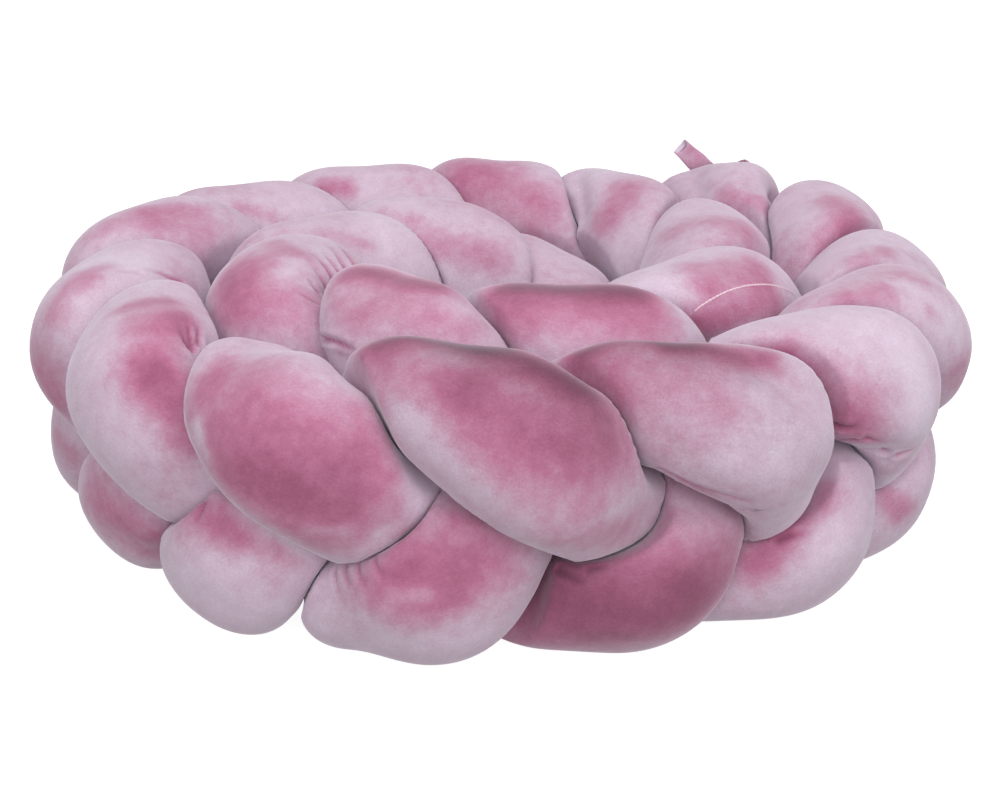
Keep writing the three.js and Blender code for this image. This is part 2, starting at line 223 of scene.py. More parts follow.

# Patches of brushed pile, which also hold painted sheen and painted shade: pale where strength is
# above 0, deep where it is below.
# strand: number in STRANDS; along and around, in crowns and degrees, at both ends of its middle;
# radius in millimetres.
NAP_AND_PAINTED_LIGHT_PATCHES = (
    # strand, along, around, to along, to around, radius, strength
    # Front crowns, from the left
    (1, 16.20, 45, 16.50, 60, 24, -1.05),
    (1, 16.25, 100, 16.52, 128, 18, -1.2),
    (1, 16.06, 45, 16.10, 72, 11, -0.7),
    (1, 16.00, 5, 16.13, -25, 9, 0.35),
    (1, 16.62, 35, 16.72, 66, 9, 1.4),
    (1, 16.13, 82, 16.20, 98, 5, 0.7),
    (1, 16.50, 132, 16.56, 124, 4, 0.6),
    (2, 16.80, 26, 17.00, -22, 12, -2.0),
    (2, 17.00, -22, 17.30, -12, 12, -2.0),
    (2, 16.90, 50, 17.10, 42, 14, -0.9),
    (2, 17.12, 40, 17.45, 38, 20, -1.0),
    (2, 17.02, 82, 17.25, 112, 8, 0.3),
    (2, 17.22, 66, 17.42, 72, 14, -0.35),
    (2, 17.28, 100, 17.45, 105, 16, -0.5),
    (2, 17.52, 60, 17.58, 80, 13, -0.15),
    (2, 17.45, 140, 17.65, 125, 12, -0.7),
    (0, 17.74, 18, 17.95, 4, 9, -1.4),
    (0, 17.95, 4, 18.22, -8, 9, -1.4),
    (0, 17.74, 38, 17.82, 60, 16, -0.7),
    (0, 17.92, 32, 18.10, 40, 18, -0.15),
    (0, 18.00, 62, 18.12, 74, 18, -0.12),
    (0, 18.29, 44, 18.30, 52, 4, -0.35),
    # Front feet, from the left
    (2, 16.00, 12, 16.04, 42, 12, -0.9),
    (2, 16.06, 62, 16.10, 84, 9, -0.45),
    (2, 16.09, 33, 16.10, 60, 9, -0.6),
    (2, 16.12, 96, 16.12, 108, 5, -0.4),
    (2, 15.85, 95, 15.95, 130, 14, 0.15),
    (0, 16.95, 34, 17.10, 40, 20, -0.65),
    (0, 16.88, 62, 17.06, 76, 20, -0.6),
    (0, 16.72, 58, 16.86, 60, 9, -0.3),
    (0, 16.86, 60, 16.92, 66, 5, 0.7),
    (0, 16.75, 100, 16.95, 130, 14, 0.15),
    (1, 17.58, 70, 17.92, 95, 34, -1.9),
    (1, 18.05, 40, 18.12, 35, 12, 0.3),
    (2, 18.66, 66, 18.80, 50, 10, -1.1),
    (2, 18.70, 98, 18.86, 80, 14, 0.3),
    (2, 18.86, 28, 19.04, 5, 8, -0.8),
    (0, 19.72, 60, 19.74, 75, 8, -0.9),
    # Right side, from the front
    (1, 18.86, 58, 19.05, 96, 18, -1.0),
    (1, 18.80, 45, 18.88, 55, 8, -0.5),
    (1, 19.10, 118, 19.20, 130, 9, -0.5),
    (1, 18.85, 20, 19.20, 20, 12, 0.15),
    (1, 19.25, 55, 19.32, 110, 12, 0.8),
    (2, 19.78, 30, 19.92, 40, 9, -0.6),
    (2, 20.05, 62, 20.08, 70, 5, -0.6),
    (2, 20.14, 88, 20.16, 96, 5, -0.4),
    (2, 20.02, 45, 20.16, 90, 12, 0.35),
    (2, 20.05, 15, 20.15, 40, 8, -0.3),
    (0, 20.78, 22, 20.95, 30, 8, -0.7),
    (0, 21.05, 45, 21.10, 55, 6, -0.4),
    (1, 21.80, 42, 21.90, 18, 14, -1.0),
    (1, 21.66, 10, 21.74, 24, 10, -0.6),
    (1, 21.80, -20, 21.70, -25, 10, 0.2),
    (2, 22.64, 0, 22.74, -34, 9, -0.6),
    # Left side, from the front
    (0, 15.00, -20, 15.06, 6, 9, -1.1),
    (0, 15.15, -30, 15.35, 5, 16, -1.0),
    (0, 15.38, 20, 15.58, 60, 12, -0.9),
    (0, 15.10, -45, 15.20, -42, 9, -0.6),
    (0, 15.25, 40, 15.45, 100, 14, 0.25),
    (2, 14.20, -10, 14.34, 22, 9, -0.5),
    (2, 14.10, -22, 14.22, -20, 7, -0.5),
    (2, 13.98, -28, 14.08, 5, 9, 0.4),
    (2, 13.85, -55, 13.90, -65, 12, -0.5),
    (1, 13.05, -40, 13.20, -20, 12, -0.45),
    (1, 12.86, -55, 13.00, -38, 12, -0.35),
    (1, 12.88, -20, 13.05, -15, 8, -0.6),
    (1, 14.92, 80, 14.98, 140, 20, -0.75),
    (0, 13.98, 80, 14.03, 110, 8, -0.4),
    # Inner turn, from the left
    (1, 4.18, 10, 4.42, 15, 18, -0.65),
    (1, 4.20, 42, 4.34, 44, 12, -0.7),
    (1, 4.00, 10, 4.06, -30, 8, -0.6),
    (1, 4.14, -30, 4.22, -22, 7, 0.35),
    (2, 4.90, 30, 5.10, -25, 12, -1.8),
    (2, 5.12, 20, 5.30, 8, 14, -0.5),
    (2, 4.96, 58, 5.10, 55, 11, -0.6),
    (0, 5.85, 15, 6.16, -14, 13, -1.9),
    (0, 5.88, 50, 6.22, 38, 20, -0.85),
    (1, 6.86, 78, 7.12, 72, 10, -1.0),
    (1, 6.92, 50, 7.12, 48, 9, -0.8),
    (1, 6.92, 22, 7.14, 24, 10, -0.75),
    (2, 7.85, -30, 7.90, 40, 16, -0.75),
    # Back, from the right
    (0, 8.86, -10, 8.76, -50, 15, -0.8),
    (1, 10.00, -50, 9.70, -35, 24, -1.0),
    (2, 11.00, -58, 11.12, -55, 8, -0.9),
    (0, 11.84, -58, 12.00, -52, 6, -0.5),
    (0, 2.84, -48, 3.02, -44, 7, -0.65),
    (2, 1.72, -36, 1.92, -66, 13, -0.8),
    (2, 2.02, -52, 2.12, -48, 8, -0.5),
    # Far side
    (0, 9.10, 60, 9.35, 95, 18, -0.9),
    (1, 10.20, 55, 10.45, 80, 20, -0.8),
    (2, 11.05, 70, 11.30, 100, 16, -0.9),
    (0, 12.20, 45, 12.50, 70, 20, -0.9),
    (1, 13.25, 70, 13.45, 105, 18, -0.8),
    (2, 14.30, 90, 14.50, 115, 14, -0.6),
    (2, 20.25, 110, 20.45, 130, 12, -0.7),
    (0, 21.25, 90, 21.45, 115, 14, -0.8),
    (1, 22.10, 70, 22.40, 95, 18, -0.8),
    (0, 10.45, 95, 10.70, 110, 18, -0.9),
    (1, 11.55, 80, 11.80, 105, 18, -0.7),
    (2, 12.45, 90, 12.75, 100, 20, -0.8),
    (2, 21.45, 95, 21.75, 110, 18, -0.8),
    (0, 22.40, 95, 22.60, 110, 16, -0.7),
)
NAP_LEVEL = 0.66           # how far the pile is brushed between the patches
NAP_WAVE = 0.25            # height of the slow waves in its brushing
NAP_WAVE_STRETCH = 0.6     # scale of their places: below 1 the waves are longer than the lumps
CREASE_PAINTED_SHADE = 0.45          # how much deeper and darker the pile is painted for each millimetre of a crease: painted shade

# Painted shade: places where the colour is darkened by the share of light given, and painted light
# where that share is below 0 and lightens it; rows as for the nap patches.
PAINTED_SHADE_AND_LIGHT_PATCHES = (
    # strand, along, around, to along, to around, radius, strength
    (2, 16.85, 20, 17.00, -10, 16, 0.28),
    (2, 17.00, -10, 17.35, 0, 16, 0.28),
    (2, 17.10, 40, 17.45, 45, 24, 0.15),
    (0, 17.78, 25, 18.00, 8, 14, 0.2),
    (0, 18.00, 8, 18.22, 2, 14, 0.2),
    (0, 17.95, 50, 18.25, 70, 28, 0.14),
    (0, 18.30, 60, 18.38, 90, 16, 0.04),
    (1, 17.58, 70, 17.95, 90, 34, 0.12),
    # painted light where the next crown's overhang shades the cloth
    (1, 16.58, 60, 16.68, 76, 12, -0.2),
    (0, 5.90, 8, 6.12, -15, 10, 0.2),
)

# Colours of the pile, from standing and deep to brushed flat and pale, at their nap
PILE_COLOURS = (
    (-1.6, (0.220, 0.068, 0.124, 1)),
    (-1.0, (0.300, 0.094, 0.168, 1)),
    (-0.4, (0.405, 0.150, 0.248, 1)),
    (0.1, (0.460, 0.248, 0.346, 1)),
    (0.6, (0.520, 0.385, 0.480, 1)),
    (1.2, (0.590, 0.485, 0.585, 1)),
)
NAP_LOW, NAP_HIGH = PILE_COLOURS[0][0], PILE_COLOURS[-1][0]
SEAM_PINK = (0.70, 0.50, 0.58, 1)
SHEEN_TINT = (0.93, 0.86, 0.96, 1)

# Noise that breaks up the pile, and how far it moves the nap or the colour
CLOUD_NOISE = {"Scale": 30, "Detail": 6, "Roughness": 0.6}
STROKE_NOISE = {"Scale": 5, "Detail": 3, "Roughness": 0.6}
FLECK_NOISE = {"Scale": 140, "Detail": 4, "Roughness": 0.6}
FIBRE_NOISE = {"Scale": 900, "Detail": 2, "Roughness": 0.7}
THREAD_NOISE = {"Scale": 700, "Detail": 2}
STROKE_SCALE = (70, 190, 1)    # makes the strokes long along the strand
CLOUD_NAP = 1.3
STROKE_NAP = 0.4
FLECK_NAP = 0.9
FIBRE_SHADE = 0.4              # from the darkest fibre to the lightest
THREAD_SHADE = 0.3

# The stitched seam where it shows: along in crowns and around in degrees, on strand SEAM_STRAND
SEAM_STRAND = 1
SEAM_ROUTE = (
    (6.80, 73),
    (6.86, 67),
    (6.91, 63),
    (6.98, 58),
    (7.06, 54),
    (7.14, 53),
    (7.20, 56),
    (7.26, 62),
)
SEAM_STEPS = 220
SEAM_CORNERS = 12
SEAM_HALF_WIDE = 0.6
SEAM_HIGH = 0.5
SEAM_SINK = 0.06           # share of its length over which each end sinks into the cloth
STITCH_LENGTH = 2.4

# The tie's route on its strand, from the sewn end over a fold to the free end.
# along: crowns along the strand; around: degrees around it from its top towards the coil's outside;
# off: stand-off from its cloth; lean: the way from the tape's lower edge to its upper edge, in degrees
# like around.
TIE_STRAND = 2
TIE_COLUMNS = ("along", "around", "off", "lean")
TIE_ROUTE = (
    (23.58, 62, 2.1, -28),
    (23.38, 60, 2.1, -30),
    (23.22, 57, 2.1, -33),
    (23.13, 54, 2.2, -38),
    (23.08, 49, 2.8, -43),
    (23.05, 47, 4.2, -45),
    (23.08, 47, 5.4, -45),
    (23.13, 49, 5.0, -42),
    (23.18, 42, 5.6, -25),
    (23.20, 29, 10.0, -20),
    (23.21, 12, 22.5, -10),
)
TIE_HALF_WIDE = 7.0
TIE_HALF_THICK = 1.1
TIE_FLATNESS = 0.7         # power that draws out the two ends of its oval section
TIE_WALL = 0.9             # the tie's cloth at its open mouth
TIE_MOUTH = 2.6            # half height of that mouth
TIE_MOUTH_DEEP = 9.0
TIE_MOUTH_NARROW = 0.5     # how much narrower the tape is there, on each side
TIE_UPPER_OPEN = 0.5       # how much further the mouth opens at its upper edge than in its middle
TIE_OPENING = 1.6          # length over which it opens, in depths of the mouth
TIE_LEAST_THICK = 0.15     # least half thickness of the space inside it
TIE_CUT = 4.0              # how much shorter its front wall is there
TIE_NAP = 0.2              # how far its pile is brushed
TIE_LIP_NAP = 0.9          # and inside its mouth
TIE_LIP_STEPS = 4          # sections of the mouth before its painted shade
TIE_HOLE_PAINTED_SHADE = 0.6        # share of light lost in that depth: painted shade
TIE_STEPS = 110
TIE_SMALL_SHARE = 1e-3     # of its length, for its direction
TIE_CORNERS = 28
TIE_MOUTH_STEPS = 12

# The camera, as fitted to the photograph, which is 1000 by 800 pixels
SENSOR_WIDE = 36.0
CAMERA_LENS = 54.0
CAMERA_BACK = 783.1        # in front of the coil's axis
CAMERA_HIGH = 362.9        # above the floor
CAMERA_PITCH = 21.02       # degrees below level
CAMERA_NEAR = 0.01         # nearest that it sees, in metres

# The stage, in metres and watts
FLOOR_HALF = 6.0
FLOOR_COLOUR = (0.3, 0.3, 0.3, 1)
FLOOR_ROUGHNESS = 0.9
FLOOR_GLOW = 0.9
WHITE = (1, 1, 1, 1)
SURROUND_GLOW = 0.36
LAMP_AIM = (0, 0, 0.1)
LAMPS = (
    # name, place, size, power
    ("key", (-0.9, -1.7, 1.5), 1.4, 10),
    ("fill", (1.2, -1.4, 1.2), 1.4, 12),
    ("front", (0.0, -2.0, 0.9), 1.6, 24),
    ("top", (0.0, 0.2, 2.0), 1.6, 18),
)


# Geometry of the plait


def smooth_curve(stops, place):
    """A smooth curve through rows of values, at places counted in rows.

    Its pieces are cubic, and its slope at a row is half the step from the row before to the row
    after. One more row past each end carries on straight.
    """
    first = 2 * stops[0] - stops[1]
    last = 2 * stops[-1] - stops[-2]
    padded = np.concatenate([[first], stops, [last]])
    row = np.clip(np.floor(place).astype(int), 0, len(stops) - 2)
    share = (place - row).reshape(place.shape + (1,) * (stops.ndim - 1))
    before, start, end, after = (padded[row + step] for step in range(4))
    slope = end - before
    bend = 2 * before - 5 * start + 4 * end - after
    twist = 3 * start - before - 3 * end + after
    return start + 0.5 * (slope + (bend + twist * share) * share) * share


def column(name, along):
    """One column of CROWNS at any places along the braid, as a smooth curve."""
    return smooth_curve(CROWN_TABLE[name], along)


def smooth_step(share):
    """0 below 0, 1 above 1, and 3x^2 - 2x^3 between."""
    inside = np.clip(share, 0, 1)
    return inside * inside * (3 - 2 * inside)


def end_distance(along):
    """Crowns left to the nearer end of the braid."""
    return np.minimum(along, LAST_CROWN - along)


def openness(along):
    """1 in the braid, END_GATHER where its three strands are drawn together at an end."""
    return END_GATHER + (1 - END_GATHER) * smooth_step(end_distance(along) / GATHER_LENGTH)


def fullness(along):
    """Thickness as a share of the full one: a half ellipse over the tapered end."""
    missing = np.maximum(0, 1 - end_distance(along) / END_LENGTH)
    return np.sqrt(np.maximum(0, 1 - missing * missing))


def phase(strand, along):
    """Turn of a strand within the plait, a quarter turn past its start at each of its crowns."""
    return 2 * np.pi * (along - strand) / 3 + np.pi / 2


def outward_at(azimuth):
    """Level direction away from the coil's axis at an azimuth in radians."""
    return np.stack([np.sin(azimuth), -np.cos(azimuth), 0 * azimuth], -1)


def outward_share(strand, along):
    """Outward part of a strand's figure of eight, -1 to 1: minus the sine of twice its phase."""
    return -np.sin(2 * phase(strand, along))


def firmness(strand, along):
    """How firmly a strand presses its neighbours.

    That is the outward part, run ahead by PRESS_LEAD, a wave that is highest on the outer way down,
    and a bell curve for each row of PUSHES.
    """
    turn = phase(strand, along)
    firm = -np.sin(2 * turn + PRESS_LEAD) + TOP_PRESS * np.cos(turn - 3 * np.pi / 4)
    for pushed, middle, reach, push in PUSHES:
        firm = firm + (pushed == strand) * push * np.exp(-(((along - middle) / reach) ** 2))
    return firm


def strand_middle(strand, along):
    """Middle line of a strand: a wave in height and a figure of eight across, laid along the coil.

    The height is the sine of the strand's phase, between its foot and its crown. A strand lags behind
    by the squared cosine, its feet lie further in, and each row of SHIFTS moves it by a bell curve.
    """
    turn = phase(strand, along)
    lift = np.sin(turn)
    radius = column("radius", along)
    top_height = BRAID_HEIGHT + column("rise", along) - CROWN_DEPTH
    halfway = (top_height + FOOT_DEPTH) / 2
    opened = openness(along)
    height = halfway + (top_height - FOOT_DEPTH) / 2 * lift * opened
    across = SWING * outward_share(strand, along) + column("inset", along) / 2 * (lift - 1)
    ahead = FOOT_LEAD / 2 * (1 - lift) - BACK_SHIFT * np.cos(turn) ** 2
    for shifted, place, reach, up, on in SHIFTS:
        share = (shifted == strand) * np.exp(-(((along - place) / reach) ** 2))
        height = height + up * share
        ahead = ahead + on * share
    middle = outward_at(np.radians(column("azimuth", along)) + ahead / radius)
    middle = middle * (radius + across * opened)[..., None]
    return middle + np.stack([0 * height + COIL_CENTRE[0], 0 * height + COIL_CENTRE[1], height], -1)


def unit(vectors):
    """The same directions with length 1."""
    return vectors / np.linalg.norm(vectors, axis=-1, keepdims=True)


def dot(first, second):
    """Dot products along the last axis."""
    return np.einsum("...x,...x->...", first, second)


def section_frames(strand, along):
    """Sections across a strand: middle, bend, the axes top and side, and the oval's short axis.

    The short axis is the slope of an upright ellipse, OVAL_ACROSS by OVAL_UP, at the strand's place
    in the plait, made square to the strand.
    """
    middle = strand_middle(strand, along)
    ahead = strand_middle(strand, along + SMALL_STEP) - middle
    behind = middle - strand_middle(strand, along - SMALL_STEP)
    pace = (np.linalg.norm(ahead, axis=-1) + np.linalg.norm(behind, axis=-1)) / 2
    forward = unit(ahead + behind)
    bend = (unit(ahead) - unit(behind)) / pace[:, None]
    top = unit(UP - forward * (forward @ UP)[:, None])
    side = np.cross(forward, top)
    turn = phase(strand, along)
    half_rise = (BRAID_HEIGHT - CROWN_DEPTH - FOOT_DEPTH) / 2
    outward = outward_at(np.radians(column("azimuth", along)))
    short = outward * (-2 * SWING * np.cos(turn) / OVAL_ACROSS**2)[:, None]
    short = short + UP * half_rise / OVAL_UP**2
    short = unit(short - forward * dot(short, forward)[:, None])
    return SimpleNamespace(strand=strand, along=along, middle=middle, bend=bend, top=top,
                           side=side, short=short, firmness=firmness(strand, along))


def rays_at(frames, around):
    """Rays across each section, at angles around from its top towards the coil's outside."""
    upward = frames.top[:, None] * np.cos(around)[..., None]
    return upward + frames.side[:, None] * np.sin(around)[..., None]


def trace_strands():
    """Points of all three middle lines, with their strand, place along it and firmness."""
    along = np.linspace(0, LAST_CROWN, TRACE_STEPS + 1)
    strands = range(len(STRANDS))
    return SimpleNamespace(
        strand=np.repeat(np.arange(len(STRANDS)), len(along)),
        along=np.tile(along, len(STRANDS)),
        place=np.concatenate([strand_middle(strand, along) for strand in strands]),
        firmness=np.concatenate([firmness(strand, along) for strand in strands]))


TRACE = trace_strands()


def pressed_reach(frames, rays):
    """Distance along each ray to the nearest face where another strand or turn presses back.

    The face between two middle points stands across the line that joins them, near its middle. A
    ray also ends before the cloth inside a bend would fold over itself.
    """
    facing_bend = np.einsum("sx,sax->sa", frames.bend, rays)
    reach = BEND_SHARE / np.maximum(facing_bend, 1 / BRAID_HEIGHT)
    for start in range(0, len(frames.along), CHUNK):
        part = slice(start, start + CHUNK)
        apart = TRACE.place - frames.middle[part, None]
        share = 0.5 + OUTER_PRESS / 2 * (frames.firmness[part, None] - TRACE.firmness)
        close = abs(TRACE.along - frames.along[part, None]) < OWN_REACH
        own = close & (TRACE.strand == frames.strand)
        weight = np.where(own, np.inf, share * dot(apart, apart))
        facing = np.einsum("stx,sax->sat", apart, rays[part])
        limit = np.where(facing > 0, weight[:, None] / np.where(facing > 0, facing, 1), np.inf)
        reach[part] = np.minimum(reach[part], limit.min(-1))
    return reach - CLEARANCE / 2


def cloth_reach(frames, rays, pressed):
    """Reach of the cloth along each ray: a free oval, rounded into its pressed faces.

    The oval is where the two powers of the shares across it add up to 1, and the rounding is a soft
    minimum of the oval and the pressed faces.
    """
    short_share = np.einsum("sax,sx->sa", rays, frames.short)
    wide_share = np.sqrt(np.maximum(0, 1 - short_share**2))
    short_power = (abs(short_share) / (STRAND_THICK / 2)) ** SHOULDER
    wide_power = (wide_share / (STRAND_WIDE / 2)) ** SHOULDER
    oval = (short_power + wide_power) ** (-1 / SHOULDER)
    free = oval * fullness(frames.along)[:, None]
    nearer = np.minimum(free, pressed)
    spread = abs(free - pressed)
    rounded = nearer - CREASE_ROUND * np.log1p(np.exp(-spread / CREASE_ROUND))
    return np.maximum(rounded, LEAST_SHARE * nearer)


def floor_reach(frames, rays):
    """Distance along each ray to the floor."""
    falling = rays[..., 2] < 0
    fall = np.where(falling, -rays[..., 2], 1)
    return np.where(falling, frames.middle[:, None, 2] / fall, np.inf)


def strand_stations(strand):
    """Places of a strand's sections: close together on its round ends and near its creases.

    Between the ends the sections share out a density of 1, plus CREASE_FINENESS times a bell curve
    around the middle of each crease. On an end they go by one minus a cosine, closest at the tip.
    """
    fine = np.linspace(0, LAST_CROWN, FINE_PLACES * STATIONS)
    middles = [(row[1] + row[3]) / 2 for row in CREASES if row[0] == strand]
    bells = np.exp(-(((fine[:, None] - np.array(middles)) / CREASE_NEAR) ** 2))
    density = 1 + CREASE_FINENESS * bells.max(1)
    shares = np.concatenate([[0], np.cumsum((density[1:] + density[:-1]) / 2)])
    even = np.interp(np.linspace(0, shares[-1], STATIONS + 2)[1:-1], shares, fine)
    drawn = END_LENGTH * (1 - np.cos(np.pi / 2 * np.minimum(end_distance(even) / END_LENGTH, 1)))
    placed = np.where(even > LAST_CROWN - END_LENGTH, LAST_CROWN - drawn, even)
    return np.where(even < END_LENGTH, drawn, placed)


def plain_cloth(strand, along, around):
    """A strand's cloth before its creases: sections, rays, their limits and the reach on them."""
    frames = section_frames(strand, along)
    rays = rays_at(frames, around)
    pressed = pressed_reach(frames, rays)
    reach = np.minimum(cloth_reach(frames, rays, pressed), floor_reach(frames, rays))
    return frames, rays, pressed, reach


def cloth_points(strand, along, around):
    """Points of a strand's plain cloth at pairs of places along and angles around, in radians."""
    frames, rays, _, reach = plain_cloth(strand, along, around[:, None])
    return frames.middle + rays[:, 0] * reach


def line_gap(points, line):
    """Distance of each point from a line of joined straight pieces, and the share of it passed."""
    gap = np.full(points.shape[:-1], np.inf)
    passed = np.zeros(points.shape[:-1])
    for step in range(len(line) - 1):
        leg = line[step + 1] - line[step]
        share = np.clip((points - line[step]) @ leg / (leg @ leg), 0, 1)
        apart = np.linalg.norm(points - line[step] - share[..., None] * leg, axis=-1)
        passed = np.where(apart < gap, (step + share) / (len(line) - 1), passed)
        gap = np.minimum(gap, apart)
    return gap, passed


def cloth_line(strand, row):
    """Points on the plain cloth under a table row's straight line in along and around."""
    share = np.linspace(0, 1, CREASE_STEPS + 1)
    along = row[1] + (row[3] - row[1]) * share
    around = np.radians(row[2] + (row[4] - row[2]) * share)
    return cloth_points(strand, along, around)


def beside(along, row, window):
    """Which sections lie within a window of a table row's line."""
    return (along > min(row[1], row[3]) - window) & (along < max(row[1], row[3]) + window)


def crease_relief(strand, along, points):
    """Height of the creases: a sharp valley, two lips beside it, and less along its way.

    The valley falls off as e to the minus distance over width, the lips are bell curves.
    """
    relief = np.zeros(points.shape[:-1])
    for row in CREASES:
        if row[0] != strand:
            continue
        width, depth = row[5:]
        near = beside(along, row, CREASE_WINDOW)
        gap, passed = line_gap(points[near], cloth_line(strand, row))
        valley = np.exp(-gap / width)
        lips = CREASE_LIP * np.exp(-((gap / width - CREASE_LIP_PLACE) ** 2))
        relief[near] += depth * (1 - passed**2) * (lips - valley)
    return relief


def lump_relief(points):
    """Sum of the waves of LUMPS at each point."""
    relief = np.zeros(points.shape[:-1])
    for direction, length, start, height in LUMPS:
        relief += height * np.sin(2 * np.pi * (points @ np.array(direction)) / length + start)
    return relief


def soft_rows(table, strand, along, points):
    """Sum of a table's soft patches: each is strongest on its line and fades in a bell curve."""
    total = np.zeros(points.shape[:-1])
    for row in table:
        if row[0] != strand:
            continue
        radius, strength = row[5:]
        near = beside(along, row, PATCH_WINDOW)
        gap, _ = line_gap(points[near], cloth_line(strand, row))
        total[near] += strength * np.exp(-((gap / radius) ** 2))
    return total


def nap_at(strand, along, points, crease):
    """How far the pile is brushed, from deep to pale: slow waves and soft patches.

    The patches also hold painted sheen and painted shade. Inside a crease, whose relief is below 0,
    the
    pile is painted deeper and darker: painted shade in the crease.
    """
    waves = NAP_WAVE * lump_relief(points * NAP_WAVE_STRETCH)
    nap = NAP_LEVEL + waves + soft_rows(NAP_AND_PAINTED_LIGHT_PATCHES, strand, along, points)
    # painted shade inside the creases
    nap = nap + CREASE_PAINTED_SHADE * np.minimum(crease, 0)
    return np.clip(nap, NAP_LOW, NAP_HIGH)


def strand_cloth(strand):
    """Grid of a strand's cloth: rows are sections along it and columns go around them.

    The plain cloth gets lumps, creases, swells and, at both ends, pleats: a cosine around the strand
    that deepens towards the tip. Then the pressed faces and the floor cut it off again.
    """
    along = strand_stations(strand)
    around = np.linspace(0, 2 * np.pi, CORNERS, endpoint=False) + np.pi
    turns = np.broadcast_to(around, (len(along), CORNERS))
    frames, rays, pressed, reach = plain_cloth(strand, along, turns)
    points = frames.middle[:, None] + rays * reach[..., None]
    ending = np.maximum(0, 1 - end_distance(along) / END_LENGTH)[:, None]
    pleats = 1 - END_PLEAT_DEPTH * ending * (0.5 + 0.5 * np.cos(END_PLEATS * around))
    free = smooth_step((pressed - reach) / LUMP_FADE) * fullness(along)[:, None]
    crease = crease_relief(strand, along, points)
    relief = crease + lump_relief(points) * free + soft_rows(SWELLS, strand, along, points)
    shaped = np.maximum(reach + relief, LEAST_CLOTH * reach) * pleats
    reach = np.minimum(np.minimum(shaped, pressed), floor_reach(frames, rays))
    points = frames.middle[:, None] + rays * reach[..., None]
    nap = nap_at(strand, along, points, crease)
    # painted shade, and painted light where it is below 0
    dusk = soft_rows(PAINTED_SHADE_AND_LIGHT_PATCHES, strand, along, points)
    return SimpleNamespace(points=points, nap=nap, dusk=dusk)


def through(stops, share):
    """The smooth curve through rows of values, at shares of its way from 0 to 1."""
    stops = np.asarray(stops, float)
    return smooth_curve(stops, share * (len(stops) - 1))


def seam_grid():
    """A low round bead on the cloth, as rows along the seam and columns around it.

    Its sections are ellipses, largest at each stitch and half as large between two, by the size of a
    cosine.
    """
    share = np.linspace(0, 1, SEAM_STEPS)
    along, degrees = through(SEAM_ROUTE, share).T
    around = np.radians(degrees)
    frames, rays, _, reach = plain_cloth(SEAM_STRAND, along, around[:, None])
    plain = frames.middle + rays[:, 0] * reach
    relief = crease_relief(SEAM_STRAND, along, plain[:, None])[:, 0] + lump_relief(plain)
    middle = plain + rays[:, 0] * relief[:, None]
    forward = unit(np.gradient(middle, axis=0))
    across = unit(np.cross(forward, rays[:, 0]))
    outward = np.cross(across, forward)
    passed = np.concatenate([[0], np.cumsum(np.linalg.norm(np.diff(middle, axis=0), axis=-1))])
    stitch = 0.5 + 0.5 * abs(np.cos(np.pi * passed / STITCH_LENGTH))
    sinking = smooth_step(np.minimum(share, 1 - share) / SEAM_SINK)
    turn = np.linspace(0, 2 * np.pi, SEAM_CORNERS, endpoint=False)
    wide = SEAM_HALF_WIDE * stitch
    high = SEAM_HIGH * stitch * sinking
    side = across[:, None] * (wide[:, None] * np.cos(turn))[..., None]
    rise = outward[:, None] * (high[:, None] * np.sin(turn))[..., None]
    return middle[:, None] + side - rise


def tie_grid():
    """The tie as a flat tube: oval sections on its route, then an open mouth that goes back inside.

    A section is an ellipse with its ends drawn out. Towards the free end it opens up, most at its
    upper edge, its front wall is cut back by TIE_CUT, and the inner wall follows it back for
    TIE_MOUTH_DEEP at a wall's thickness inside the outer one.
    """
    route = dict(zip(TIE_COLUMNS, np.array(TIE_ROUTE, float).T))
    around = np.radians(route["around"])
    frames, rays, _, reach = plain_cloth(TIE_STRAND, route["along"], around[:, None])
    places = frames.middle + rays[:, 0] * (reach[:, 0] + route["off"])[:, None]
    leans = rays_at(frames, np.radians(route["lean"])[:, None])[:, 0]
    share = np.linspace(0, 1, TIE_STEPS)
    length = np.linalg.norm(np.diff(places, axis=0), axis=-1).sum()
    deep = TIE_MOUTH_DEEP / length
    inner = 1 - deep * np.linspace(0, 1, TIE_MOUTH_STEPS)
    shares = np.concatenate([share, inner])
    wall = np.concatenate([np.zeros(TIE_STEPS), np.full(TIE_MOUTH_STEPS, TIE_WALL)])
    middle = through(places, shares)
    ahead = through(places, shares + TIE_SMALL_SHARE)
    forward = unit(ahead - through(places, shares - TIE_SMALL_SHARE))
    lean = through(leans, shares)
    across = unit(lean - forward * dot(lean, forward)[:, None])
    face = np.cross(across, forward)
    opening = TIE_OPENING * deep
    opened = smooth_step((shares - 1 + opening) / opening) ** 2
    wide = TIE_HALF_WIDE - TIE_MOUTH_NARROW * opened - wall
    thick = TIE_HALF_THICK + (TIE_MOUTH - TIE_HALF_THICK) * opened - wall
    thick = np.maximum(thick, TIE_LEAST_THICK)
    turn = np.linspace(0, 2 * np.pi, TIE_CORNERS, endpoint=False)
    flat = np.sign(np.cos(turn)) * abs(np.cos(turn)) ** TIE_FLATNESS
    side = across[:, None] * (wide[:, None] * flat)[..., None]
    open_side = 1 + TIE_UPPER_OPEN * opened[:, None] * np.cos(turn)
    rise = face[:, None] * (thick[:, None] * open_side * np.sin(turn))[..., None]
    cut = forward[:, None] * (TIE_CUT * opened[:, None] * np.maximum(0, -np.sin(turn)))[..., None]
    return middle[:, None] + side - rise - cut


# Meshes


